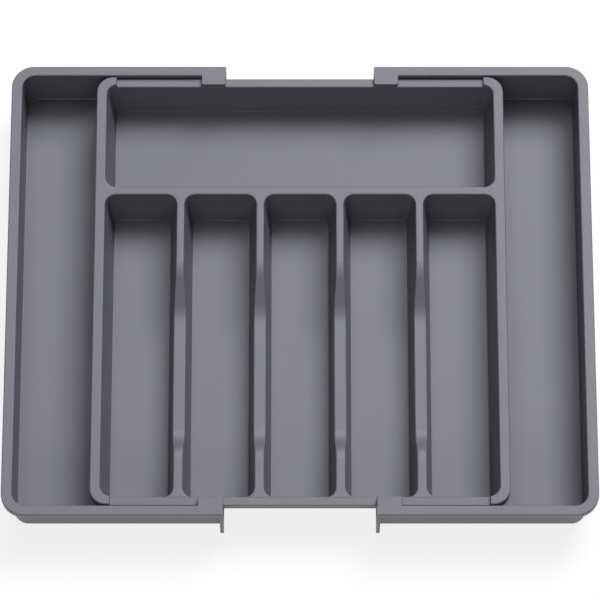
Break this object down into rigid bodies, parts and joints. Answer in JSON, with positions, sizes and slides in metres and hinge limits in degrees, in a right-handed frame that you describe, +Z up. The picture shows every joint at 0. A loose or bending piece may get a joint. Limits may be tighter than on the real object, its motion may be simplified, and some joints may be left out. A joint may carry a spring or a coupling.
{
  "type": "cutlery tray",
  "caption": "Expandable cutlery tray: a compartmented centre tray with dipped dividers between two U-shaped side trays that slide out on hooked rims.",
  "frame": {"origin": "under the middle of the tray, on the surface that the feet stand on", "axes": "+X to the right along the slide direction, +Y to the back, where the wide compartment is, +Z up"},
  "size_m": [0.4424, 0.36, 0.047],
  "materials": {
    "grey_plastic": "satin moulded",
    "foot_rubber": "matte"
  },
  "bodies": {
    "centre": {"centre_tray": "grey_plastic"},
    "right": {"right_tray": "grey_plastic", "right_foot_1": "foot_rubber", "right_foot_2": "foot_rubber", "right_foot_3": "foot_rubber", "right_foot_4": "foot_rubber"},
    "left": {"left_tray": "grey_plastic", "left_foot_1": "foot_rubber", "left_foot_2": "foot_rubber", "left_foot_3": "foot_rubber", "left_foot_4": "foot_rubber"}
  },
  "joints": [
    {"name": "right_slide", "type": "slide", "parent": "centre", "child": "right", "axis": [1, 0, 0], "range_m": [-0.0564, 0.0645]},
    {"name": "left_slide", "type": "slide", "parent": "centre", "child": "left", "axis": [-1, 0, 0], "range_m": [-0.0564, 0.0645]}
  ]
}
